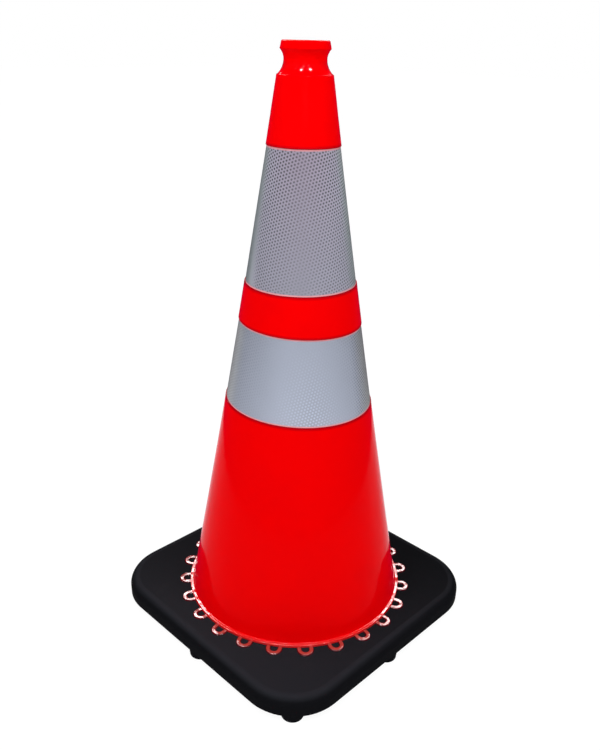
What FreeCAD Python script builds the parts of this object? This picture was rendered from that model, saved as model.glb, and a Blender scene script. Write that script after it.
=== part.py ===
"""Traffic cone of the 28 inch class, as a parametric document in millimetres.

The cone is an injection-moulded PVC shell with a grip neck, moulded into a black weighted
base, with two reflective collars bonded into shallow recesses of its wall. +Z is up. The
origin is on the floor, under the middle of the base, whose sides run along X and Y.
"""
import FreeCAD, Part
import Sketcher
import math
import os
from collections import namedtuple

from FreeCAD import Placement, Rotation, Vector

# ---------------------------------------------------------------- driving dimensions
SIZES = (
    # whole cone
    ("total_height", 714.0),
    # weighted base, a square slab with round corners, on eight moulded feet
    ("base_width", 364.0),
    ("base_corner_radius", 70.0),
    ("base_thickness", 24.3),
    ("base_top_rounding", 11.6),
    ("base_under_rounding", 1.5),
    ("foot_height", 10.4),
    ("foot_radius", 14.5),
    ("foot_tip_radius", 13.5),
    ("foot_tip_rounding", 1.5),
    ("foot_edge_gap", 0.2),
    # shell wall: outer radius at the base's top face and at the shoulder, hollow of its
    # outline between the two, and thickness
    ("wall_foot_radius", 140.6),
    ("wall_bow", 2.7),
    ("wall_thickness", 3.6),
    # neck, from the top down
    ("bore_radius", 17.5),
    ("bore_length", 39.0),
    ("throat_length", 16.0),
    ("lip_top_radius", 25.2),
    ("lip_radius", 27.0),
    ("lip_height", 8.2),
    ("waist_radius", 22.8),
    ("waist_drop", 17.9),
    ("shoulder_radius", 30.2),
    ("shoulder_drop", 32.4),
    ("ledge_width", 0.9),
    ("neck_rounding", 1.1),
    ("lip_rounding", 2.0),
    ("shoulder_rounding", 0.8),
    # flange round the foot of the wall, and the ring of anchoring loops round it
    ("flange_width", 3.6),
    ("flange_rise", 3.4),
    ("flange_sink", 2.0),
    ("flange_rounding", 0.8),
    ("flange_root_rounding", 1.2),
    ("loop_count", 24),
    ("loop_length", 14.8),
    ("loop_width", 21.2),
    ("loop_bar_width", 6.4),
    ("loop_bar_height", 4.0),
    ("loop_rise", 1.6),
    ("loop_root", 3.0),
    ("shell_turn", 5.7),
    # reflective collars, from the top down, each bonded into a recess of the wall
    ("upper_collar_drop", 102.7),
    ("upper_collar_height", 151.8),
    ("collar_spacing", 46.5),
    ("lower_collar_height", 101.1),
    ("recess_depth", 2.0),
    ("layer_clearance", 0.15),
    ("adhesive_thickness", 0.2),
    ("sheet_thickness", 0.4),
    ("collar_end_gap", 0.3),
    ("seam_lap_angle", 6.0),
    ("upper_seam_angle", 60.0),
    ("lower_seam_angle", 35.0),
    ("upper_collar_tilt", 0.2),
    ("lower_collar_tilt", 1.9),
    ("tilt_axis_angle", 44.7),
    ("trim_margin", 8.0),
)

doc = FreeCAD.newDocument("traffic_cone")
sheet = doc.addObject("Spreadsheet::Sheet", "Sizes")
for row, (size_name, size_value) in enumerate(SIZES, start=1):
    sheet.set(f"A{row}", size_name)
    sheet.set(f"B{row}", str(size_value))
    sheet.setAlias(f"B{row}", size_name)
doc.recompute()

# ---------------------------------------------------------------- derived places
# Each is an expression on the sheet, so that it follows every size it is made of.
BASE_TOP = "(Sizes.foot_height + Sizes.base_thickness)"
FLANGE_TOP = f"({BASE_TOP} + Sizes.flange_rise)"
FLANGE_UNDERSIDE = f"({BASE_TOP} - Sizes.flange_sink)"
SHOULDER_HEIGHT = "(Sizes.total_height - Sizes.shoulder_drop)"
WAIST_HEIGHT = "(Sizes.total_height - Sizes.waist_drop)"
LIP_UNDERSIDE = "(Sizes.total_height - Sizes.lip_height)"
BORE_BOTTOM = "(Sizes.total_height - Sizes.bore_length)"
THROAT_BOTTOM = f"({BORE_BOTTOM} - Sizes.throat_length)"
LEDGE_RADIUS = "(Sizes.shoulder_radius - Sizes.ledge_width)"
LOOP_HEIGHT = f"({BASE_TOP} + Sizes.loop_rise - Sizes.loop_bar_height / 2)"
FLANGE_RADIUS = "(Sizes.wall_foot_radius + Sizes.flange_width)"
LOOP_SPREAD = "((Sizes.loop_width - Sizes.loop_bar_width) / 2)"
LOOP_CENTRE = f"({FLANGE_RADIUS} + Sizes.loop_length - Sizes.loop_width / 2)"
LOOP_START = f"({FLANGE_RADIUS} - Sizes.loop_root)"
UPPER_COLLAR_TOP = "(Sizes.total_height - Sizes.upper_collar_drop)"
LOWER_COLLAR_TOP = f"({UPPER_COLLAR_TOP} - Sizes.upper_collar_height - Sizes.collar_spacing)"
# The wall's outline is an arc that is hollow by wall_bow in the middle of its span.
WALL_SPAN = f"({SHOULDER_HEIGHT} - {BASE_TOP})"
WALL_NARROWING = "(Sizes.wall_foot_radius - Sizes.shoulder_radius)"
WALL_CURVE = f"(({WALL_SPAN}^2 + {WALL_NARROWING}^2) / (8 * Sizes.wall_bow))"

# Each collar's name, top, height and tilt.
UPPER = ("upper", UPPER_COLLAR_TOP, "Sizes.upper_collar_height", "Sizes.upper_collar_tilt")
LOWER = ("lower", LOWER_COLLAR_TOP, "Sizes.lower_collar_height", "Sizes.lower_collar_tilt")

Z_AXIS = Vector(0, 0, 1)
LEVEL_TOLERANCE = 0.001
HALF_ROUND = "half round"  # an arc between two corners that have the same place across
Corner = namedtuple("Corner", "across up radius bulge rounding")


def wall_radius(height):
    """Outer radius of the wall at a height: a straight taper, hollowed by wall_bow."""
    share = f"(({height} - {BASE_TOP}) / {WALL_SPAN})"
    hollow = f"4 * Sizes.wall_bow * {share} * (1 - {share})"
    return f"(Sizes.wall_foot_radius - {WALL_NARROWING} * {share} - {hollow})"


def grip_curve(radius, height):
    """Radius of the arc that leaves the waist upright and ends at a radius and height."""
    rise = f"({height} - {WAIST_HEIGHT})"
    reach = f"({radius} - Sizes.waist_radius)"
    return f"(({rise}^2 + {reach}^2) / (2 * {reach}))"


def number(expression):
    """Value of an expression on the sheet, as a plain number."""
    value = sheet.evalExpression(expression)
    return float(getattr(value, "Value", value))


# ---------------------------------------------------------------- modelling helpers
def new_body(name):
    body = doc.addObject("PartDesign::Body", name)
    body.Label = name
    return body


def origin_feature(body, role):
    """Origin plane or axis of a body, by its role."""
    return next(item for item in body.Origin.OriginFeatures if item.Role == role)


def new_sketch(body, name, plane="XZ_Plane"):
    sketch = body.newObject("Sketcher::SketchObject", name)
    sketch.AttachmentSupport = [(origin_feature(body, plane), "")]
    sketch.MapMode = "FlatFace"
    return sketch


def bind(sketch, expression, kind, *elements):
    """Adds a dimension to a sketch and binds it to an expression."""
    index = sketch.addConstraint(Sketcher.Constraint(kind, *elements, number(expression)))
    sketch.setExpression(f"Constraints[{index}]", expression)


def join(sketch, kind, one, one_end, other, other_end):
    """Makes the ends of two curves coincident or tangent."""
    sketch.addConstraint(Sketcher.Constraint(kind, one, one_end, other, other_end))


def locate(sketch, curve, end, place):
    """Ties one end of a curve to the place of a corner."""
    bind(sketch, place.across, "DistanceX", -1, 1, curve, end)
    bind(sketch, place.up, "DistanceY", -1, 1, curve, end)


def corner(across, up, rounding=None):
    """Corner of an outline that a straight line leaves; a rounding softens it."""
    return Corner(across, up, None, 0, rounding)


def arc_from(across, up, radius, bulge, rounding=None):
    """Corner that an arc leaves; with a bulge of 1 the arc's centre is on its left side."""
    return Corner(across, up, radius, bulge, rounding)


def arc_between(start, finish, radius, bulge):
    """Arc between two points, with its centre on the left of the way there if bulge is 1."""
    chord = finish - start
    height = math.sqrt(max(radius ** 2 - (chord.Length / 2) ** 2, 0.0))
    left = Vector(-chord.y, chord.x, 0).normalize()
    centre = start + chord * 0.5 + left * (bulge * height)
    ends = (start, finish) if bulge > 0 else (finish, start)
    angles = [math.atan2(point.y - centre.y, point.x - centre.x) for point in ends]
    return Part.ArcOfCircle(Part.Circle(centre, Z_AXIS, radius), *angles)


class Run:
    """Line or arc of an outline: its curve in the sketch, and which of its ends comes first."""

    def __init__(self, sketch, start, finish, radius, bulge):
        if radius is None:
            self.shape = Part.LineSegment(start, finish)
        else:
            self.shape = arc_between(start, finish, radius, bulge)
        self.curve = sketch.addGeometry(self.shape, False)
        self.first, self.last = (2, 1) if bulge < 0 else (1, 2)


def heading(start, finish, radius, bulge, at_start):
    """Direction of an outline's run where it leaves its start or reaches its finish."""
    way = (finish - start).normalize()
    if radius is None:
        return way
    swing = math.asin(min((finish - start).Length / (2 * radius), 1.0))
    turn = -swing * bulge if at_start else swing * bulge
    return Rotation(Z_AXIS, math.degrees(turn)).multVec(way)


def draw(sketch, corners, closed=True):
    """Draws an outline whose corners, arcs and roundings follow the sheet."""
    points = [Vector(number(item.across), number(item.up), 0) for item in corners]
    count = len(corners)
    run_count = count if closed else count - 1
    radii = []
    for index in range(run_count):
        radius = corners[index].radius
        if radius == HALF_ROUND:
            radii.append((points[(index + 1) % count] - points[index]).Length / 2)
        else:
            radii.append(None if radius is None else number(radius))

    def direction(index, at_start):
        start, finish = points[index], points[(index + 1) % count]
        return heading(start, finish, radii[index], corners[index].bulge, at_start)

    leaves, reaches, sides = list(points), list(points), [0] * count
    for index, item in enumerate(corners):
        if item.rounding is None:
            continue
        inward, outward = direction(index - 1, False), direction(index, True)
        trim = number(item.rounding) * math.tan(inward.getAngle(outward) / 2)
        reaches[index] = points[index] - inward * trim
        leaves[index] = points[index] + outward * trim
        sides[index] = 1 if inward.cross(outward).z > 0 else -1

    runs = [Run(sketch, leaves[index], reaches[(index + 1) % count], radii[index], corners[index].bulge)
            for index in range(run_count)]
    for index, item in enumerate(corners):
        before = runs[index - 1] if closed or index else None
        after = runs[index] if index < run_count else None
        if item.rounding is not None:
            round_corner(sketch, item, before, after, (reaches[index], leaves[index], sides[index]))
            continue
        if before and after:
            join(sketch, "Coincident", before.curve, before.last, after.curve, after.first)
        if after:
            locate(sketch, after.curve, after.first, item)
        else:
            locate(sketch, before.curve, before.last, item)
    for run, item in zip(runs, corners):
        if item.radius == HALF_ROUND:
            bind(sketch, item.across, "DistanceX", -1, 1, run.curve, 3)
        elif item.radius is not None:
            bind(sketch, item.radius, "Radius", run.curve)


def round_corner(sketch, item, before, after, arc):
    """Joins two runs by a tangent arc, and keeps the corner that they would meet in."""
    reach, leave, side = arc
    rounding = Run(sketch, reach, leave, number(item.rounding), side)
    for one, one_end, other, other_end in (
        (before, before.last, rounding, rounding.first),
        (rounding, rounding.last, after, after.first),
    ):
        join(sketch, "Tangent", one.curve, one_end, other.curve, other_end)
    bind(sketch, item.rounding, "Radius", rounding.curve)
    meeting = sketch.addGeometry(Part.Point(Vector(number(item.across), number(item.up), 0)), True)
    for run in (before, after):
        sketch.addConstraint(Sketcher.Constraint("PointOnObject", meeting, 1, run.curve))
    locate(sketch, meeting, 1, item)


def revolve(body, name, corners, kind="PartDesign::Revolution", angle="360"):
    """Turns an outline drawn in the XZ plane about Z."""
    sketch = new_sketch(body, f"{name}_outline")
    draw(sketch, corners)
    feature = body.newObject(kind, name)
    feature.Profile = sketch
    feature.ReferenceAxis = (sketch, ["V_Axis"])
    feature.setExpression("Angle", angle)
    doc.recompute()
    return feature


def round_edges(body, name, base, edges, radius):
    fillet = body.newObject("PartDesign::Fillet", name)
    fillet.Base = (base, edges)
    fillet.setExpression("Radius", radius)
    doc.recompute()
    return fillet


def polar(body, name, feature, count):
    """Repeats a feature round Z."""
    pattern = body.newObject("PartDesign::PolarPattern", name)
    pattern.Originals = [feature]
    pattern.Axis = (origin_feature(body, "Z_Axis"), [""])
    pattern.Angle = 360
    pattern.setExpression("Occurrences", count)
    body.Tip = pattern
    doc.recompute()
    return pattern


def turn_about_z(item, angle):
    item.Placement = Placement(Vector(), Rotation(Z_AXIS, number(angle)))
    item.setExpression("Placement.Rotation.Angle", angle)


def combine(kind, name, base, tool):
    """Boolean of two objects, as a named object of its own."""
    result = doc.addObject(kind, name)
    result.Label = name
    result.Base = base
    result.Tool = tool
    doc.recompute()
    return result


# ---------------------------------------------------------------- shell
def make_shell_moulding():
    """Neck, wall, flange and skirt in one turned outline, with the loops round the flange."""
    body = new_body("shell_moulding")
    skirt_bottom = "Sizes.foot_height"
    revolve(body, "shell_wall", (
        corner("Sizes.bore_radius", "Sizes.total_height", "Sizes.neck_rounding"),
        corner("Sizes.lip_top_radius", "Sizes.total_height", "Sizes.lip_rounding"),
        arc_from("Sizes.lip_radius", LIP_UNDERSIDE, grip_curve("Sizes.lip_radius", LIP_UNDERSIDE), 1,
                 "Sizes.neck_rounding"),
        arc_from("Sizes.waist_radius", WAIST_HEIGHT, grip_curve(LEDGE_RADIUS, SHOULDER_HEIGHT), 1),
        corner(LEDGE_RADIUS, SHOULDER_HEIGHT),
        arc_from("Sizes.shoulder_radius", SHOULDER_HEIGHT, WALL_CURVE, 1, "Sizes.shoulder_rounding"),
        corner(wall_radius(FLANGE_TOP), FLANGE_TOP, "Sizes.flange_root_rounding"),
        corner(FLANGE_RADIUS, FLANGE_TOP, "Sizes.flange_rounding"),
        corner(FLANGE_RADIUS, FLANGE_UNDERSIDE),
        corner(wall_radius(FLANGE_UNDERSIDE), FLANGE_UNDERSIDE),
        corner(wall_radius(skirt_bottom), skirt_bottom),
        arc_from(f"({wall_radius(skirt_bottom)} - Sizes.wall_thickness)", skirt_bottom, WALL_CURVE, -1),
        corner(f"({wall_radius(THROAT_BOTTOM)} - Sizes.wall_thickness)", THROAT_BOTTOM),
        corner("Sizes.bore_radius", BORE_BOTTOM),
    ))
    add_loops(body)
    turn_about_z(body, "Sizes.shell_turn")
    return body


def add_loops(body):
    """Ring of U-shaped bars that stand out of the flange and key the shell into its base."""
    path = new_sketch(body, "loop_path", "XY_Plane")
    path.setExpression("AttachmentOffset.Base.z", LOOP_HEIGHT)
    draw(path, (
        corner(LOOP_START, f"(-{LOOP_SPREAD})"),
        arc_from(LOOP_CENTRE, f"(-{LOOP_SPREAD})", HALF_ROUND, 1),
        corner(LOOP_CENTRE, LOOP_SPREAD),
        corner(LOOP_START, LOOP_SPREAD),
    ), closed=False)
    section = new_sketch(body, "loop_section", "YZ_Plane")
    section.setExpression("AttachmentOffset.Base.z", LOOP_START)
    round_end = "(Sizes.loop_bar_height / 2)"
    flat = f"(Sizes.loop_bar_width / 2 - {round_end})"
    left = f"(-{LOOP_SPREAD} - {flat})"
    right = f"(-{LOOP_SPREAD} + {flat})"
    draw(section, (
        corner(left, f"({LOOP_HEIGHT} - {round_end})"),
        arc_from(right, f"({LOOP_HEIGHT} - {round_end})", HALF_ROUND, 1),
        corner(right, f"({LOOP_HEIGHT} + {round_end})"),
        arc_from(left, f"({LOOP_HEIGHT} + {round_end})", HALF_ROUND, 1),
    ))
    doc.recompute()
    loop = body.newObject("PartDesign::AdditivePipe", "loop")
    loop.Profile = section
    loop.Spine = (path, [f"Edge{index}" for index in (1, 2, 3)])
    doc.recompute()
    polar(body, "loops", loop, "Sizes.loop_count")


# ---------------------------------------------------------------- collars
def band(name, top, height, inner, outer):
    """Turned blank of one layer in a collar's recess, taller than the collar itself.

    inner and outer are how far the layer's two faces lie outside the recess's floor, which
    is a true cone, as a flat sheet takes when it is wrapped.
    """
    body = new_body(name)
    floor_top = f"({wall_radius(top)} - Sizes.recess_depth)"
    floor_bottom = f"({wall_radius(f'({top} - {height})')} - Sizes.recess_depth)"
    lean = f"(({floor_bottom} - {floor_top}) / {height})"
    high = f"({top} + Sizes.trim_margin)"
    low = f"({top} - {height} - Sizes.trim_margin)"
    at_high = f"({floor_top} - {lean} * Sizes.trim_margin)"
    at_low = f"({floor_bottom} + {lean} * Sizes.trim_margin)"

    def outline(near, far):
        return (
            corner(f"({at_low} + {near})", low),
            corner(f"({at_low} + {far})", low),
            corner(f"({at_high} + {far})", high),
            corner(f"({at_high} + {near})", high),
        )

    revolve(body, f"{name}_ring", outline(inner, outer))
    return body, outline


def trim_slab(name, top, height, end_gap, tilt):
    """Flat slab as high as a collar, tilted as the collar lies, that trims a blank to it."""
    body = new_body(name)
    half = f"({height} / 2 - {end_gap})"
    reach = "Sizes.base_width"
    sketch = new_sketch(body, f"{name}_outline")
    draw(sketch, (
        corner(f"(-{reach})", f"(-{half})"),
        corner(reach, f"(-{half})"),
        corner(reach, half),
        corner(f"(-{reach})", half),
    ))
    pad = body.newObject("PartDesign::Pad", f"{name}_pad")
    pad.Profile = sketch
    pad.SideType = "Symmetric"
    pad.setExpression("Length", f"2 * {reach}")
    bearing = math.radians(number("Sizes.tilt_axis_angle"))
    axis = Vector(math.cos(bearing), math.sin(bearing), 0)
    middle = f"({top} - {height} / 2)"
    body.Placement = Placement(Vector(0, 0, number(middle)), Rotation(axis, number(tilt)))
    body.setExpression("Placement.Base.z", middle)
    body.setExpression("Placement.Rotation.Axis.x", "cos(Sizes.tilt_axis_angle * 1 deg)")
    body.setExpression("Placement.Rotation.Axis.y", "sin(Sizes.tilt_axis_angle * 1 deg)")
    body.setExpression("Placement.Rotation.Angle", tilt)
    doc.recompute()
    return body


def make_recess(prefix, top, height, tilt):
    """Cutter for the recess that a collar lies in."""
    blank, _ = band(f"{prefix}_recess_blank", top, height, "0", "(3 * Sizes.recess_depth)")
    slab = trim_slab(f"{prefix}_recess_slab", top, height, "0", tilt)
    return combine("Part::Common", f"{prefix}_recess", blank, slab)


def make_collar(prefix, top, height, tilt, seam):
    """Reflective sheet and the adhesive film behind it; the sheet laps itself at its seam."""
    film_back = "Sizes.layer_clearance"
    film_face = f"({film_back} + Sizes.adhesive_thickness)"
    sheet_back = f"({film_face} + Sizes.layer_clearance)"
    sheet_face = f"({sheet_back} + Sizes.sheet_thickness)"
    lap_face = f"({sheet_face} + Sizes.sheet_thickness)"
    film_blank, _ = band(f"{prefix}_film_blank", top, height, film_back, film_face)
    sheet_blank, outline = band(f"{prefix}_sheet_blank", top, height, sheet_back, sheet_face)
    revolve(sheet_blank, f"{prefix}_lap", outline(sheet_face, lap_face), angle="Sizes.seam_lap_angle")
    turn_about_z(sheet_blank, seam)
    film_slab = trim_slab(f"{prefix}_film_slab", top, height, "Sizes.collar_end_gap", tilt)
    sheet_slab = trim_slab(f"{prefix}_sheet_slab", top, height, "Sizes.collar_end_gap", tilt)
    return (
        combine("Part::Common", f"{prefix}_collar", sheet_blank, sheet_slab),
        combine("Part::Common", f"{prefix}_collar_adhesive", film_blank, film_slab),
    )


# ---------------------------------------------------------------- base
def make_base_block():
    """Rounded square slab on eight feet, open in the middle where the shell is moulded in."""
    body = new_body("base_block")
    half = "(Sizes.base_width / 2)"
    straight = f"({half} - Sizes.base_corner_radius)"
    sketch = new_sketch(body, "base_outline", "XY_Plane")
    sketch.setExpression("AttachmentOffset.Base.z", "Sizes.foot_height")
    radius = "Sizes.base_corner_radius"
    draw(sketch, (
        corner(f"(-{half})", f"(-{half})", radius),
        corner(half, f"(-{half})", radius),
        corner(half, half, radius),
        corner(f"(-{half})", half, radius),
    ))
    slab = body.newObject("PartDesign::Pad", "base_slab")
    slab.Profile = sketch
    slab.setExpression("Length", "Sizes.base_thickness")
    doc.recompute()
    top = outline_edges(slab, BASE_TOP)
    rounded = round_edges(body, "base_top_edge", slab, top, "Sizes.base_top_rounding")
    underside = outline_edges(rounded, "Sizes.foot_height")
    round_edges(body, "base_under_edge", rounded, underside, "Sizes.base_under_rounding")
    add_feet(body, half, straight)
    inside = "Sizes.wall_thickness / 2"
    above = f"({BASE_TOP} + Sizes.base_thickness)"
    below = "(-Sizes.base_thickness)"
    revolve(body, "mouth", (
        corner("0", below),
        corner(f"({wall_radius(below)} - {inside})", below),
        corner(f"({wall_radius(above)} - {inside})", above),
        corner("0", above),
    ), kind="PartDesign::Groove")
    return body


def outline_edges(feature, height):
    """Names of a feature's edges that lie flat at a height."""
    level = number(height)
    names = []
    for index, edge in enumerate(feature.Shape.Edges, start=1):
        box = edge.BoundBox
        if max(abs(box.ZMin - level), abs(box.ZMax - level)) < LEVEL_TOLERANCE:
            names.append(f"Edge{index}")
    return names


def add_feet(body, half, straight):
    """Round feet at the middle of each side and at each corner, close to the edge."""
    from_edge = "(Sizes.foot_radius + Sizes.foot_edge_gap)"
    side_place = f"({half} - {from_edge})"
    corner_place = f"({straight} + (Sizes.base_corner_radius - {from_edge}) * sqrt(0.5))"
    overlap = "(Sizes.foot_height + Sizes.base_under_rounding)"
    rings = (("side_foot", side_place, "0"), ("corner_foot", corner_place, corner_place))
    for name, across, along in rings:
        sketch = new_sketch(body, f"{name}_outline")
        sketch.setExpression("AttachmentOffset.Base.x", across)
        sketch.setExpression("AttachmentOffset.Base.z", f"(-{along})")
        draw(sketch, (
            corner("0", "0"),
            corner("Sizes.foot_tip_radius", "0", "Sizes.foot_tip_rounding"),
            corner("Sizes.foot_radius", "Sizes.foot_height"),
            corner("Sizes.foot_radius", overlap),
            corner("0", overlap),
        ))
        foot = body.newObject("PartDesign::Revolution", name)
        foot.Profile = sketch
        foot.ReferenceAxis = (sketch, ["V_Axis"])
        foot.Angle = 360
        doc.recompute()
        polar(body, f"{name}_ring", foot, "4")


# ---------------------------------------------------------------- assembly
shell_moulding = make_shell_moulding()
half_cut_shell = combine("Part::Cut", "half_cut_shell", shell_moulding, make_recess(*UPPER))
cone_shell = combine("Part::Cut", "cone_shell", half_cut_shell, make_recess(*LOWER))
base_block = make_base_block()
weighted_base = combine("Part::Cut", "weighted_base", base_block, shell_moulding)
upper_layers = make_collar(*UPPER, "Sizes.upper_seam_angle")
lower_layers = make_collar(*LOWER, "Sizes.lower_seam_angle")
pieces = (cone_shell, weighted_base, *upper_layers, *lower_layers)

for item in doc.Objects:
    if {"Invalid", "Error"} & set(item.State):
        raise RuntimeError(f"{item.Label} failed: {item.State}")
for piece in pieces:
    if piece.Shape.isNull() or not piece.Shape.isValid():
        raise RuntimeError(f"{piece.Label} has no valid shape")

os.makedirs("parts", exist_ok=True)
for piece in pieces:
    piece.Shape.exportStep(f"parts/{piece.Label}.step")
    box = piece.Shape.BoundBox
    print(f"{piece.Label}: {len(piece.Shape.Solids)} solid, {piece.Shape.Volume / 1000:.1f} cm3, "
          f"z {box.ZMin:.2f} to {box.ZMax:.2f}, x {box.XMin:.2f} to {box.XMax:.2f}")
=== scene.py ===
# %% [markdown]
# A traffic cone, finished for a product picture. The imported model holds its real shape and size:
# an orange moulding, a black weighted base, and two reflective collars, each on its adhesive
# film. This lesson gives every piece its finish, stands the cone on a pale studio floor, lights
# it softly and sets up the camera. All lengths are in metres.

import math

import bpy
from mathutils import Matrix, Vector


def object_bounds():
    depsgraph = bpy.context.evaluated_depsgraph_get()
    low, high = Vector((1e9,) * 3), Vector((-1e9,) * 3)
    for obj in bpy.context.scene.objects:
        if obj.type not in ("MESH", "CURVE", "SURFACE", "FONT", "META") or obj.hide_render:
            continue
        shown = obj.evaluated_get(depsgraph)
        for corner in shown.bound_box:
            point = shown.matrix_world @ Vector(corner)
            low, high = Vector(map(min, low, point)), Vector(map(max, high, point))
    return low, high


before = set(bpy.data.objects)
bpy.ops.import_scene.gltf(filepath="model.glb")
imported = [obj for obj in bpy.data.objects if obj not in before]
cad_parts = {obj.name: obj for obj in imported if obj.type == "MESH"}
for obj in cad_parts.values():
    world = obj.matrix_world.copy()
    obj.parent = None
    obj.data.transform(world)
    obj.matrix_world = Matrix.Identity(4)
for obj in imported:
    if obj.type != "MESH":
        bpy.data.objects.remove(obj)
MM = 0.001
cad_low, cad_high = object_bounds()
TOP = cad_high.z
BASE_HALF = cad_high.x
print(f"cone: {TOP / MM:.0f} mm tall on a base {2 * BASE_HALF / MM:.0f} mm wide")

# %% [markdown]
# ## Shader maths in plain Python
# A node tree is quicker to read as a formula than as a web of boxes. `Value` wraps one output
# socket and overloads the operators, so that `1 - mask` adds the Math node for us. Every other
# node comes from `Recipe.node`, which takes the node's type, its settings and its inputs.


# %% A socket that can be added, multiplied and compared
class Value:
    """One number or colour in a node tree."""

    def __init__(self, recipe, socket):
        self.recipe = recipe
        self.socket = socket

    def maths(self, operation, *values):
        inputs = dict(enumerate(values))
        return self.recipe.node("ShaderNodeMath", {"operation": operation}, inputs)

    def __add__(self, other):
        return self.maths("ADD", self, other)

    def __sub__(self, other):
        return self.maths("SUBTRACT", self, other)

    def __rsub__(self, other):
        return self.maths("SUBTRACT", other, self)

    def __mul__(self, other):
        return self.maths("MULTIPLY", self, other)

    def __truediv__(self, other):
        return self.maths("DIVIDE", self, other)

    def __rtruediv__(self, other):
        return self.maths("DIVIDE", other, self)

    def __pow__(self, other):
        return self.maths("POWER", self, other)

    def __abs__(self):
        return self.maths("ABSOLUTE", self)

    __radd__ = __add__
    __rmul__ = __mul__

    def cos(self):
        return self.maths("COSINE", self)

    def sin(self):
        return self.maths("SINE", self)

    def smaller(self, other):
        return self.maths("MINIMUM", self, other)

    def larger(self, other):
        return self.maths("MAXIMUM", self, other)

    def ramp(self, start, end):
        """0 below start, 1 above end, and a smooth step between them."""
        inputs = {"Value": self, "From Min": start, "From Max": end}
        return self.recipe.node("ShaderNodeMapRange", {"interpolation_type": "SMOOTHSTEP"}, inputs)


# %% A node tree that is written line by line
class Recipe:
    """Node tree of a material or of the world."""

    def __init__(self, owner):
        self.owner = owner
        owner.use_nodes = True
        self.tree = owner.node_tree
        self.tree.nodes.clear()

    def node(self, kind, settings=None, inputs=None, output=0):
        made = self.tree.nodes.new(kind)
        for name, setting in (settings or {}).items():
            setattr(made, name, setting)
        for name, value in (inputs or {}).items():
            if isinstance(value, Value):
                self.tree.links.new(value.socket, made.inputs[name])
            else:
                made.inputs[name].default_value = value
        return Value(self, made.outputs[output])

    def coordinates(self, output="Object"):
        """X, Y and Z of the point that is shaded, or of its normal."""
        point = self.node("ShaderNodeTexCoord", output=output)
        split = []
        for axis in range(3):
            split.append(self.node("ShaderNodeSeparateXYZ", inputs={0: point}, output=axis))
        return split

    def noise(self, feature, detail=2.0, roughness=0.5):
        """Noise between 0 and 1 whose blotches are about as large as feature."""
        point = self.node("ShaderNodeTexCoord", output="Object")
        inputs = {"Vector": point, "Scale": 1 / feature, "Detail": detail, "Roughness": roughness}
        return self.node("ShaderNodeTexNoise", inputs=inputs)

    def blend(self, share, first, second):
        """Colour that goes from first to second as share goes from 0 to 1."""
        # A Mix node keeps its colour inputs at 6 and 7, and its colour output at 2.
        inputs = {0: share, 6: first, 7: second}
        return self.node("ShaderNodeMix", {"data_type": "RGBA"}, inputs, output=2)

    def scale(self, colour, factor):
        """Colour times a number, which may be more than 1."""
        return self.node("ShaderNodeVectorMath", {"operation": "SCALE"}, {0: colour, 3: factor})

    def bump(self, height, depth):
        """Normal of a surface that rises by depth where height goes from 0 to 1."""
        return self.node("ShaderNodeBump", inputs={"Height": height, "Distance": depth})

    def plastic(self, **sockets):
        """Principled shader, with the underscores of its arguments read as spaces."""
        named = {name.replace("_", " "): value for name, value in sockets.items()}
        return self.node("ShaderNodeBsdfPrincipled", inputs=named)

    def finish(self, shader, kind="ShaderNodeOutputMaterial"):
        """Ends the tree, and hands back the material or the world that it belongs to."""
        end = self.tree.nodes.new(kind)
        self.tree.links.new(shader.socket, end.inputs["Surface"])
        return self.owner


def rgb(red, green, blue):
    return (red, green, blue, 1.0)


print("shader tools ready")

# %% [markdown]
# ## Where the camera stands
# A product picture of something this tall is taken from chest height, close enough for the base
# to spread out below the neck. The camera stands off one corner of the base and looks down by
# about twenty-five degrees. Its turn is written as three simple ones: about the cone's axis,
# down to the floor, and a slight roll in the hand.

# %% Camera
CAMERA_PLACE = (-0.60885, -0.60172, 0.71814)
CAMERA_BEARING = math.radians(-45.484)
CAMERA_TILT = math.radians(64.815)
CAMERA_ROLL = math.radians(1.297)

camera_data = bpy.data.cameras.new("product_camera")
camera_data.sensor_width = 36.0
camera_data.lens = 36.4
camera_data.shift_y = 0.02258
camera = bpy.data.objects.new("product_camera", camera_data)
bpy.context.scene.collection.objects.link(camera)
turn = Matrix.Rotation(CAMERA_BEARING, 4, "Z") @ Matrix.Rotation(CAMERA_TILT, 4, "X")
turn = turn @ Matrix.Rotation(CAMERA_ROLL, 4, "Z")
camera.matrix_world = Matrix.Translation(CAMERA_PLACE) @ turn
bpy.context.scene.camera = camera
print(f"camera {camera.location.length:.2f} m from the middle of the floor print")

# %% [markdown]
# ## Where the collars lie
# Both the sheeting and the orange wall beside it need to know where a collar's edges run. They
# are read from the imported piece: its lowest and highest points give the slope of the cone that it
# lies on, and, as a collar may lie a little askew, heights are taken along its own axis. Angles
# round the cone are counted from one corner of the base, which is called the front.

# %% Measure the collars
FRONT_BEARING = -135.337
FRONT = math.radians(FRONT_BEARING)
TILT_BEARING = math.radians(44.7)
UPPER_TILT = math.radians(0.2)
LOWER_TILT = math.radians(1.9)


def measure_strip(node, tilt):
    """Sine of the half angle of the cone that a collar lies on, its axis, and its two edges."""
    points = [vertex.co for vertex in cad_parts[node].data.vertices]
    low = min(points, key=lambda point: point.z)
    high = max(points, key=lambda point: point.z)
    low_radius = math.hypot(low.x, low.y)
    high_radius = math.hypot(high.x, high.y)
    slope = (low_radius - high_radius) / (high.z - low.z)
    lean = Vector((math.sin(TILT_BEARING), -math.cos(TILT_BEARING), 0))
    axis = lean * math.sin(tilt) + Vector((0, 0, math.cos(tilt)))
    heights = [axis.dot(point) for point in points]
    return {"sine": math.sin(math.atan(slope)), "axis": axis, "bottom": min(heights), "top": max(heights)}


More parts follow.
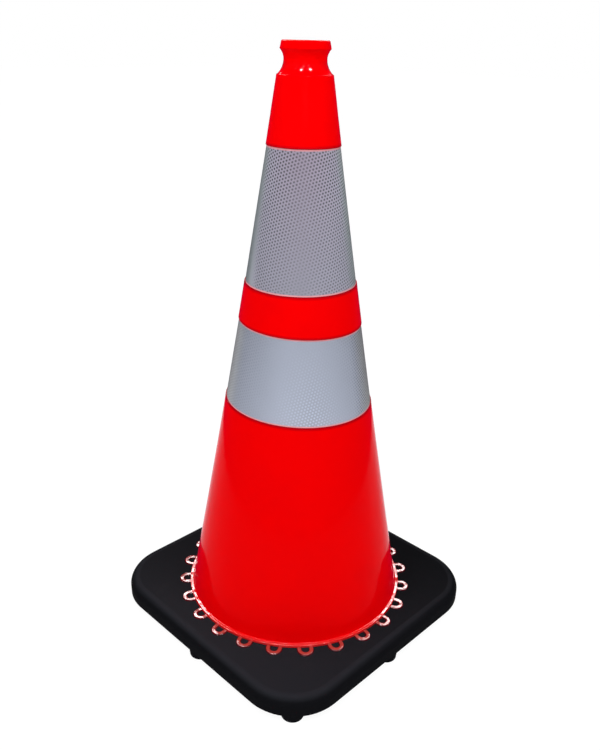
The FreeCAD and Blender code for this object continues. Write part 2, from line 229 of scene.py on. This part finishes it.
def height_along(strip, x, y, z):
    """Height of the shaded point along the collar's own axis."""
    return x * strip["axis"].x + y * strip["axis"].y + z * strip["axis"].z


upper_strip = measure_strip("upper_collar", UPPER_TILT)
lower_strip = measure_strip("lower_collar", LOWER_TILT)
for strip in (upper_strip, lower_strip):
    print(f"strip {(strip['top'] - strip['bottom']) / MM:.1f} mm high, sine {strip['sine']:.3f}")

# %% [markdown]
# ## Orange wall
# The shell is one injection moulding in plasticised PVC, dyed so deep that hardly any green or
# blue comes back. Its skin is smooth, with the faint ripple that such a skin always has, and it
# mirrors the room only where one looks along it. A Principled shader with a normal plastic's
# index would veil the whole wall with pale reflections, so the index is kept close to air's: the
# wall stays pure, and the mirror shows as a narrow strip at either side. A faint sheen gives that
# strip the magenta cast of dye seen through the skin. Two places differ. Painted shade darkens
# the corners that the wall makes with the collars' edges. And the ring at the foot of the neck,
# where the next cone of a stack rubs, is polished, and is the one place that shows sparks.

# %% Orange wall
WALL_COLOUR = rgb(0.9, 0.0001, 0.0006)
WALL_WORN = rgb(0.87, 0.0002, 0.001)
# Painted shade in the corners beside the collars: its colour, its share at the edge, and the width over
# which it fades.
GROOVE_SHADE = rgb(0.3, 0.001, 0.006)
GROOVE_SHADE_SHARE = 0.8
GROOVE_WIDTH = 4.5 * MM
RING_LOW = TOP - 28.5 * MM
RING_HIGH = TOP - 18 * MM


def paint_groove_shade(recipe, tone, x, y, z):
    """The wall's colour, with painted shade just above and just below each collar."""
    for strip in (upper_strip, lower_strip):
        middle = (strip["bottom"] + strip["top"]) / 2
        half_height = (strip["top"] - strip["bottom"]) / 2
        beyond = abs(height_along(strip, x, y, z) - middle) - half_height
        groove_shade = GROOVE_SHADE_SHARE - GROOVE_SHADE_SHARE * beyond.ramp(0, GROOVE_WIDTH)
        tone = recipe.blend(groove_shade, tone, GROOVE_SHADE)
    return tone


def make_wall(recipe, x, y, z):
    ripple = recipe.noise(9 * MM, 2)
    clouding = recipe.noise(60 * MM, 4, 0.6)
    tone = recipe.blend(clouding.ramp(0.35, 0.75), WALL_COLOUR, WALL_WORN)
    polished = z.ramp(RING_LOW, RING_LOW + 2 * MM) * (1 - z.ramp(RING_HIGH - 4 * MM, RING_HIGH))
    return recipe.plastic(
        Base_Color=paint_groove_shade(recipe, tone, x, y, z),
        Roughness=0.07 + 0.04 * clouding,
        IOR=1.06,
        Coat_Weight=0.8 * polished,
        Coat_Roughness=0.03,
        Sheen_Weight=0.07,
        Sheen_Roughness=0.3,
        Sheen_Tint=rgb(0.45, 0.0, 0.85),
        Normal=recipe.bump(ripple, 0.05 * MM),
    )


print(f"polished ring {(RING_HIGH - RING_LOW) / MM:.1f} mm high at the foot of the neck")

# %% [markdown]
# ## Flange and loops
# The thin flange at the wall's foot, and the loops that stand out of it and anchor the base, are
# the same moulding. They lie flat, and the sides of the loops are painted darker than their
# upward faces, as painted shade from the base. The flange froze unevenly in the
# mould: it is wavy, and its light is broken into patches, with rougher ones at both sides. One
# radius, measured from the axis, tells wall, flange and loops apart, and one Mix Shader joins
# them, so that the moulding keeps a single material.

# %% Flange, loops and the whole moulding
FLANGE_COLOUR = rgb(0.86, 0.012, 0.012)
LOOP_COLOUR = rgb(0.42, 0.045, 0.036)
# Painted shade on the sides of the loops.
LOOP_SIDE_SHADE = rgb(0.1, 0.003, 0.008)
FLANGE_START = 140.4 * MM
LOOP_START = 144.6 * MM
SCUFF_DEPTH = 0.05
DENT_DEPTH = 2.4


def make_foot(recipe, x, y, radius):
    scuffs = recipe.noise(2.5 * MM, 4, 0.7)
    patches = recipe.noise(22 * MM, 2, 0.6).ramp(0.42, 0.6)
    dents = recipe.noise(14 * MM, 2, 0.5)
    ahead = (x * math.cos(FRONT) + y * math.sin(FRONT)) / radius
    side_on = 1 - ahead.ramp(0.5, 0.8)
    outer = radius.ramp(LOOP_START - 0.3 * MM, LOOP_START + 0.3 * MM)
    # Painted shade: the loops are darker where they face sideways than where they face up.
    upward = recipe.coordinates("Normal")[2].ramp(0.75, 1)
    loops = recipe.blend(upward, LOOP_SIDE_SHADE, LOOP_COLOUR)
    return recipe.plastic(
        Base_Color=recipe.blend(outer, FLANGE_COLOUR, loops),
        Roughness=0.12 + 0.14 * scuffs * outer + 0.3 * patches * (1 - outer) * side_on,
        Specular_IOR_Level=0.85,
        Normal=recipe.bump(SCUFF_DEPTH * scuffs + DENT_DEPTH * dents, MM),
    )


def make_orange():
    recipe = Recipe(bpy.data.materials.new("orange_moulding"))
    x, y, z = recipe.coordinates()
    radius = (x * x + y * y) ** 0.5
    wall = make_wall(recipe, x, y, z)
    foot = make_foot(recipe, x, y, radius)
    on_foot = radius.ramp(FLANGE_START - 0.2 * MM, FLANGE_START + 0.2 * MM)
    both = recipe.node("ShaderNodeMixShader", inputs={0: on_foot, 1: wall, 2: foot})
    return recipe.finish(both)


orange = make_orange()
print("orange finish:", len(orange.node_tree.nodes), "nodes")

# %% [markdown]
# ## Lattice of the sheeting
# Each collar is a flat strip of grey prismatic sheeting, wrapped round the cone and lapped on
# itself. Its sealing pattern is a lattice of small dark dots in rows that run in three
# directions. A flat strip stays undistorted when it is wrapped on a cone, so the lattice is
# drawn on the unrolled cone: the distance from the cone's tip, and the angle round the axis
# shrunk by the sine of the cone's half angle. Three waves, sixty degrees apart, add up to the
# dots. The cut of the angle lies on the lap, where the real strip ends as well.

# %% Lattice on the unrolled cone
DOT_ROWS = 3.31 * MM
DOT_TURN = 12.6


def turn_from_front(recipe, x, y, seam):
    """Angle round the axis, nought at the front and cut at the seam."""
    across = math.radians(seam + 180)
    ahead = x * math.cos(across) + y * math.sin(across)
    aside = y * math.cos(across) - x * math.sin(across)
    angle = recipe.node("ShaderNodeMath", {"operation": "ARCTAN2"}, {0: aside, 1: ahead})
    return angle - math.radians((FRONT_BEARING - seam) % 360 - 180)


def draw_lattice(strip, radius, turned):
    """Sum of the three waves: 3 in the middle of a dot, and -1.5 between the dots."""
    unrolled = turned * strip["sine"]
    reach = radius / strip["sine"]
    right = reach * unrolled.sin()
    down = reach * unrolled.cos()
    waves = []
    for step in range(3):
        bearing = math.radians(DOT_TURN + 60 * step)
        along = right * math.cos(bearing) + down * math.sin(bearing)
        waves.append((along * (2 * math.pi / DOT_ROWS)).cos())
    return waves[0] + waves[1] + waves[2]


print(f"rows of dots every {DOT_ROWS / MM:.2f} mm, turned by {DOT_TURN:.1f} degrees")

# %% [markdown]
# ## How the sheeting answers the light
# The prisms send light back to where it came from, so the strips look uneven, and that light is
# painted into their colour. Their brightness is painted light that drifts round the cone and up
# the strip, tone and contrast drift with it, and towards the sides the sheet is painted from
# lilac to a plain grey-green. Each strip has a function that says so, in two terms: `swing`, the
# sine of the angle from the front, and `share`, the height in the strip. The upper strip is warm
# high up in front and has a smooth painted highlight band at its left. The lower one is paler and
# nearly plain, with painted glints in its dots low in front and painted shade at its right.

# %% Tone, contrast and painted light of the two strips
UPPER_COOL = rgb(0.282, 0.282, 0.342)
UPPER_WARM = rgb(0.222, 0.192, 0.245)
UPPER_SIDE = rgb(0.25, 0.285, 0.295)
LOWER_TONE = rgb(0.4, 0.437, 0.535)
LOWER_SIDE = rgb(0.5, 0.515, 0.53)


def upper_look(recipe, share, swing):
    side = abs(swing)
    facing = 1 - side * side
    # Painted light: a highlight band at the left, and brightness that changes across and up the strip.
    left_band = (0 - swing - 0.81 - 0.13 * share).ramp(-0.07, 0.07)
    left_highlight = left_band * (1 - side.ramp(0.87, 0.99)) * (1 - share)
    tone = recipe.blend(share * facing, UPPER_COOL, UPPER_WARM)
    tone = recipe.blend(side.ramp(0.8, 0.99), tone, UPPER_SIDE)
    contrast = (0.1 + 0.4 * share + 0.6 * side) * (1 - left_band)
    painted_light = 1.02 + 0.08 * share + 0.07 * swing + 0.4 * left_highlight
    return tone, contrast, painted_light


def lower_look(recipe, share, swing):
    side = abs(swing)
    facing = 1 - side * side
    # Painted light: shade at the right, a little at the left and towards both sides, and glints in the
    # dots low in front.
    right_shade = swing.ramp(0.74, 0.95)
    shade = (0 - swing).ramp(0.1, 0.7) * (1 - side.ramp(0.87, 0.93))
    sparkle = (1 - share) * (1 - 1.6 * abs(swing - 0.2)).larger(0)
    tone = recipe.blend(side.ramp(0.8, 0.99), LOWER_TONE, LOWER_SIDE)
    contrast = 0.3 * side ** 3 + 0.5 * right_shade - 0.32 * sparkle
    painted_light = (1.1 - 0.2 * share) * (0.8 + 0.2 * facing)
    painted_light = painted_light * (1 - 0.26 * right_shade) * (1 - 0.12 * shade)
    return tone, contrast, painted_light


print("looks of the strips:", upper_look.__name__, "and", lower_look.__name__)

# %% [markdown]
# ## Sheeting
# The colour of a strip is its tone, scaled down in the dots and up between them by the same
# amount, so that contrast leaves the mean alone, and scaled again by the painted light of its look.
# Painted glints brighten single prisms here and there, most where the contrast is strong. The top
# and bottom edges of the strip are painted pale and pink. A clear film lies over all of it, which is the
# thin coat.

# %% Sheeting finish
DOT_MEAN = 0.3
DOT_GAIN = 1.4
CUT_EDGE = rgb(0.82, 0.36, 0.4)
CUT_INNER = 2.1 * MM
CUT_OUTER = 1.1 * MM


def make_sheeting(name, strip, seam, look):
    recipe = Recipe(bpy.data.materials.new(name))
    x, y, z = recipe.coordinates()
    radius = (x * x + y * y) ** 0.5
    turned = turn_from_front(recipe, x, y, seam)
    lattice = draw_lattice(strip, radius, turned)
    dots = lattice.ramp(-0.6, 1.8)
    height = height_along(strip, x, y, z)
    share = (height - strip["bottom"]) / (strip["top"] - strip["bottom"])
    patchy = recipe.noise(45 * MM, 3, 0.6)
    glints = recipe.noise(1.5 * MM, 2, 0.5)
    # The look gives tone, contrast and the painted light that scales the colour.
    tone, contrast, painted_light = look(recipe, share, turned.sin())
    contrast = contrast * (0.7 + 0.6 * patchy)
    # Painted glints of single prisms, most where the contrast is strong.
    glinting = contrast.larger(0) * glints.ramp(0.58, 0.75)
    painted_light = painted_light * (0.97 + 0.06 * glints + 0.4 * glinting)
    tone = recipe.scale(tone, painted_light * (1 + contrast * (DOT_MEAN - dots) * DOT_GAIN))
    from_edge = (height - strip["bottom"]).smaller(strip["top"] - height)
    tone = recipe.blend(1 - from_edge.ramp(CUT_OUTER, CUT_INNER), tone, CUT_EDGE)
    sheet = recipe.plastic(
        Base_Color=tone,
        Roughness=0.3 + 0.15 * patchy,
        Specular_IOR_Level=0.3,
        Coat_Weight=0.3,
        Coat_Roughness=0.12,
        Normal=recipe.bump(lattice, 0.03 * MM),
    )
    return recipe.finish(sheet)


upper_sheeting = make_sheeting("upper_sheeting", upper_strip, 60.0, upper_look)
lower_sheeting = make_sheeting("lower_sheeting", lower_strip, 35.0, lower_look)
print("sheeting finishes:", len(upper_sheeting.node_tree.nodes), "nodes each")

# %% [markdown]
# ## Adhesive film
# Behind each sheet lies a thin film of pressure-sensitive adhesive. Only its edges show: they
# are milky, and dust has settled on them.

# %% Adhesive finish
FILM_COLOUR = rgb(0.42, 0.2, 0.2)
FILM_DUST = rgb(0.28, 0.2, 0.19)


def make_adhesive():
    recipe = Recipe(bpy.data.materials.new("adhesive_film"))
    dust = recipe.noise(3 * MM, 4, 0.7)
    film = recipe.plastic(
        Base_Color=recipe.blend(dust.ramp(0.4, 0.7), FILM_COLOUR, FILM_DUST),
        Roughness=0.45 + 0.2 * dust,
        Normal=recipe.bump(dust, 0.02 * MM),
    )
    return recipe.finish(film)


adhesive = make_adhesive()
print("adhesive finish:", len(adhesive.node_tree.nodes), "nodes")

# %% [markdown]
# ## Black base
# The base is recycled rubber-like PVC, loaded to keep the cone upright: a dull, nearly black
# skin with a fine grain. Light from one side is painted onto its top face: it is lighter towards
# one corner and darker away from it, where the cone's shadow is painted, and a painted highlight
# runs where that face starts to roll over. Random smears on the top are strongest towards the
# lit corner, so they are partly painted light too. The sides keep a colour between the two. The
# distance from the inner square of the base, whose corners are the centres of its round corners,
# follows the rounded outline.

# %% Base finish
# Painted light: the top goes from the shaded colour to the lit one towards one corner, the roll-over line
# gets a painted highlight, and the sides sit between.
SIDE_COLOUR = rgb(0.0065, 0.0067, 0.0082)
TOP_SHADED_COLOUR = rgb(0.003, 0.0034, 0.0046)
TOP_LIT_COLOUR = rgb(0.0186, 0.0194, 0.0238)
ROLL_OVER_HIGHLIGHT = rgb(0.0215, 0.0222, 0.0275)
SMEAR_COLOUR = rgb(0.022, 0.0215, 0.025)
LIGHT_BEARING = math.radians(-163)
BASE_CORNER = 70 * MM
ROLL_OVER = 58.4 * MM


def roll_over_highlight(x, y):
    """Share of the painted highlight: 1 along the line where the top face starts to roll over, and 0 away
    from it.
    """
    inner = BASE_HALF - BASE_CORNER
    across = (abs(x) - inner).larger(0)
    along = (abs(y) - inner).larger(0)
    outline = (across * across + along * along) ** 0.5
    return outline.ramp(ROLL_OVER - 3 * MM, ROLL_OVER) * (1 - outline.ramp(61 * MM, 65 * MM))


def make_rubber():
    recipe = Recipe(bpy.data.materials.new("black_rubber"))
    x, y, z = recipe.coordinates()
    grain = recipe.noise(0.9 * MM, 3, 0.6)
    smears = recipe.noise(30 * MM, 5, 0.65)
    upward = recipe.coordinates("Normal")[2].ramp(0.55, 0.98)
    # Painted light from one side: the top is lighter towards that bearing.
    toward_light = x * math.cos(LIGHT_BEARING) + y * math.sin(LIGHT_BEARING)
    ahead = toward_light / (x * x + y * y) ** 0.5
    lit_share = (0.5 + 0.5 * ahead) ** 1.5
    tone = recipe.blend(upward, SIDE_COLOUR, recipe.blend(lit_share, TOP_SHADED_COLOUR, TOP_LIT_COLOUR))
    # Painted highlight along the roll-over line, strongest on the lit side.
    tone = recipe.blend(roll_over_highlight(x, y) * (0.3 + 0.5 * lit_share), tone, ROLL_OVER_HIGHLIGHT)
    # Random smears, strongest on the lit side, so partly painted light.
    tone = recipe.blend(smears.ramp(0.5, 0.8) * upward * lit_share * 0.5, tone, SMEAR_COLOUR)
    skin = recipe.plastic(
        Base_Color=tone,
        Roughness=0.5 + 0.15 * smears,
        Specular_IOR_Level=0.004,
        Normal=recipe.bump(grain, 0.12 * MM),
    )
    return recipe.finish(skin)


rubber = make_rubber()
print("base finish:", len(rubber.node_tree.nodes), "nodes")

# %% [markdown]
# ## Every piece gets its finish
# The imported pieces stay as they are. Only the materials in their slots are exchanged.

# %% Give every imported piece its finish
FINISHES = {
    "cone_shell": orange,
    "weighted_base": rubber,
    "upper_collar": upper_sheeting,
    "lower_collar": lower_sheeting,
    "upper_collar_adhesive": adhesive,
    "lower_collar_adhesive": adhesive,
}
for name, finish in FINISHES.items():
    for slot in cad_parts[name].material_slots:
        slot.material = finish
print("finished:", ", ".join(FINISHES))

# %% [markdown]
# ## Floor and air
# The floor is a pale sweep that is as white as the paper the picture is printed on, and so is
# the air round it. To the camera and in reflections most of that white is its own glow, so that
# the shadow under the cone is only a breath of grey. To the light that bounces about, both are
# an ordinary pale room, and the cone is not lit up by its own background.

# %% White air
RAY_KINDS = ("Is Camera Ray", "Is Glossy Ray", "Is Transmission Ray")
WORLD_LIGHT = 0.6


def seen_directly(recipe):
    """1 for rays that look at something: from the camera, in gloss, or through glass."""
    rays = [recipe.node("ShaderNodeLightPath", output=name) for name in RAY_KINDS]
    return rays[0].larger(rays[1]).larger(rays[2])


world = bpy.data.worlds.new("white_studio")
bpy.context.scene.world = world
air = Recipe(world)
levels = {"Value": seen_directly(air), "To Min": WORLD_LIGHT, "To Max": 1.0}
strength = air.node("ShaderNodeMapRange", inputs=levels)
glow = air.node("ShaderNodeBackground", inputs={"Color": rgb(1, 1, 1), "Strength": strength})
air.finish(glow, "ShaderNodeOutputWorld")
print("air lights the room at", WORLD_LIGHT)

# %% Pale floor
FLOOR_SIZE = 30.0
FLOOR_GLOW = 0.86
FLOOR_SHINE = 1.09
PAPER_LIGHT = rgb(0.84, 0.84, 0.84)
PAPER_DARK = rgb(0.8, 0.8, 0.8)

bpy.ops.object.select_all(action="DESELECT")
bpy.ops.mesh.primitive_plane_add(size=FLOOR_SIZE)
floor = bpy.context.object
floor.name = "studio_floor"
paper = Recipe(bpy.data.materials.new("studio_paper"))
fibre = paper.blend(paper.noise(4 * MM, 3, 0.6), PAPER_LIGHT, PAPER_DARK)
matt = paper.node("ShaderNodeBsdfDiffuse", inputs={"Color": fibre})
shine_inputs = {"Color": rgb(1, 1, 1), "Strength": FLOOR_SHINE}
shine = paper.node("ShaderNodeEmission", inputs=shine_inputs)
glowing = seen_directly(paper) * FLOOR_GLOW
whole = paper.node("ShaderNodeMixShader", inputs={0: glowing, 1: matt, 2: shine})
floor.data.materials.append(paper.finish(whole))
print("floor", FLOOR_SIZE, "m wide")

# %% [markdown]
# ## Dark surround
# In a room where all is white, a glossy thing loses its outline. So the paper that the cone
# stands on ends a step away from it, and beyond it lie a dark cloth, dark screens and a dark
# ceiling. They show only in the gloss: high up, the sides of the cone stay deep red, and low
# down, where they mirror the paper, they turn nearly white. The surround is one mesh, a disc
# whose rim is extruded outwards, then up, and closed at the top.

# %% Cloth, screens and ceiling
PAPER_RADIUS = 0.72
SCREEN_RADIUS = 3.0
SCREEN_HEIGHT = 2.6
CLOTH_LIGHT = rgb(0.04, 0.025, 0.06)
CLOTH_DARK = rgb(0.025, 0.018, 0.045)

bpy.ops.object.select_all(action="DESELECT")
bpy.ops.mesh.primitive_circle_add(vertices=96, radius=PAPER_RADIUS, location=(0, 0, MM))
surround = bpy.context.object
surround.name = "dark_surround"
growth = SCREEN_RADIUS / PAPER_RADIUS
bpy.ops.object.mode_set(mode="EDIT")
bpy.ops.mesh.extrude_region_move()
bpy.ops.transform.resize(value=(growth, growth, 1))
bpy.ops.mesh.extrude_region_move(TRANSFORM_OT_translate={"value": (0, 0, SCREEN_HEIGHT)})
bpy.ops.mesh.edge_face_add()
bpy.ops.object.mode_set(mode="OBJECT")
cloth = Recipe(bpy.data.materials.new("dark_cloth"))
weave = cloth.blend(cloth.noise(8 * MM, 3, 0.6), CLOTH_LIGHT, CLOTH_DARK)
surround.data.materials.append(
    cloth.finish(cloth.node("ShaderNodeBsdfDiffuse", inputs={"Color": weave}))
)
surround.visible_camera = False
surround.visible_diffuse = False
surround.visible_shadow = False
print("surround stands", SCREEN_RADIUS, "m away")

# %% [markdown]
# ## Lights
# The air does most of the work, and two soft lamps model the cone from both sides without
# showing in its gloss. A small lamp near the neck makes up for the shade under the rim. The other
# lamps are there only for their reflections: four small ones put the sparks on the polished ring
# and the foot, and a wide panel behind the cone, high enough to miss the loops at the back, lies
# in the gloss of the flange and the loops at both sides. In front they mirror the orange wall
# instead.

# %% Lamps
NECK = 0.69


def hang(name, bearing, elevation, distance, size, radiance, aim):
    """Area lamp at a bearing from the front, facing the cone's axis at height aim."""
    lamp_data = bpy.data.lights.new(name, "AREA")
    lamp_data.shape = "RECTANGLE"
    lamp_data.size, lamp_data.size_y = size
    lamp_data.energy = radiance * math.pi * size[0] * size[1]
    lamp = bpy.data.objects.new(name, lamp_data)
    bpy.context.scene.collection.objects.link(lamp)
    around = math.radians(FRONT_BEARING + bearing)
    up = math.radians(elevation)
    level = math.cos(up)
    way = Vector((level * math.cos(around), level * math.sin(around), math.sin(up)))
    place = Vector((0, 0, aim)) + way * distance
    facing = way.to_track_quat("Z", "Y").to_matrix().to_4x4()
    lamp.matrix_world = Matrix.Translation(place) @ facing
    lamp.visible_camera = False
    return lamp


for_gloss = [
    hang("spark_left", -25.2, 55.6, 1.5, (0.2, 0.2), 130, NECK),
    hang("spark_right", 33.4, 52.4, 1.5, (0.2, 0.2), 90, NECK),
    hang("glint_left", -12, 36, 1.5, (0.1, 0.1), 50, NECK),
    hang("glint_right", 14, 33, 1.5, (0.1, 0.1), 35, NECK),
    hang("back_panel", 180, 54.5, 2.4, (2.4, 1.4), 17, 0.04),
]
for lamp in for_gloss:
    lamp.visible_diffuse = False
for_light = [
    hang("soft_left", -45, 48, 1.7, (0.6, 0.6), 9, 0.4),
    hang("soft_right", 51, 48, 1.7, (0.6, 0.6), 7, 0.4),
    hang("neck_lamp", 0, 15, 0.45, (0.15, 0.15), 4.5, 0.67),
]
for lamp in for_light:
    lamp.visible_glossy = False
print("lamps hung:", len(for_gloss), "for gloss and", len(for_light), "for light")

# %% [markdown]
# ## The end
# Colours are shown as they are. Nothing was added to the cone's outline.

# %% Plain colours and the end
bpy.context.scene.view_settings.view_transform = "Standard"
print("colours:", bpy.context.scene.view_settings.view_transform)
